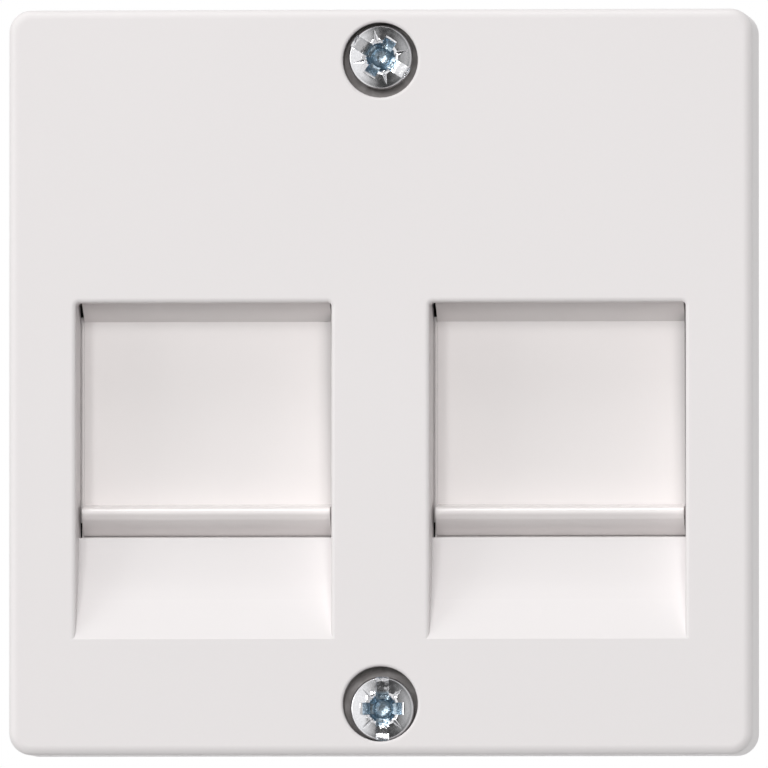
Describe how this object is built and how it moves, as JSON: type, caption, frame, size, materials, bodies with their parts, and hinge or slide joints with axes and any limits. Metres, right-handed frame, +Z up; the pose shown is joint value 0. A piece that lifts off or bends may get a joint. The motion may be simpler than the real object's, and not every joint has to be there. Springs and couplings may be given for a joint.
{
  "type": "keystone faceplate",
  "caption": "Square faceplate with side-by-side keystone ports, each behind a sliding dust shutter with a finger ridge over a curved scoop; held by screws on its upright centre line.",
  "frame": {"origin": "middle of the rear rim, which is the middle of the line between the fixing screws", "axes": "+Z up, +X to the right seen from the front, the front faces -Y and the screws point along +Y"},
  "size_m": [0.05, 0.018, 0.05],
  "materials": {
    "white_gloss_plastic": "glossy moulded white",
    "white_shutter_plastic": "semi-gloss moulded white",
    "dark_plastic": "fine matt, near black",
    "zinc_plated_steel": "bright zinc with a faint blue tint",
    "natural_nylon": "translucent off-white, satin"
  },
  "bodies": {
    "cover": {"front_cover": "white_gloss_plastic", "keystone_carrier": "dark_plastic", "top_screw": "zinc_plated_steel", "bottom_screw": "zinc_plated_steel", "top_captive_washer": "natural_nylon", "bottom_captive_washer": "natural_nylon"},
    "left_shutter_body": {"left_shutter": "white_shutter_plastic"},
    "right_shutter_body": {"right_shutter": "white_shutter_plastic"}
  },
  "joints": [
    {"name": "left_shutter_lift", "type": "slide", "parent": "cover", "child": "left_shutter_body", "axis": [0, 0, 1], "range_m": [0, 0.013]},
    {"name": "right_shutter_lift", "type": "slide", "parent": "cover", "child": "right_shutter_body", "axis": [0, 0, 1], "range_m": [0, 0.013]}
  ]
}
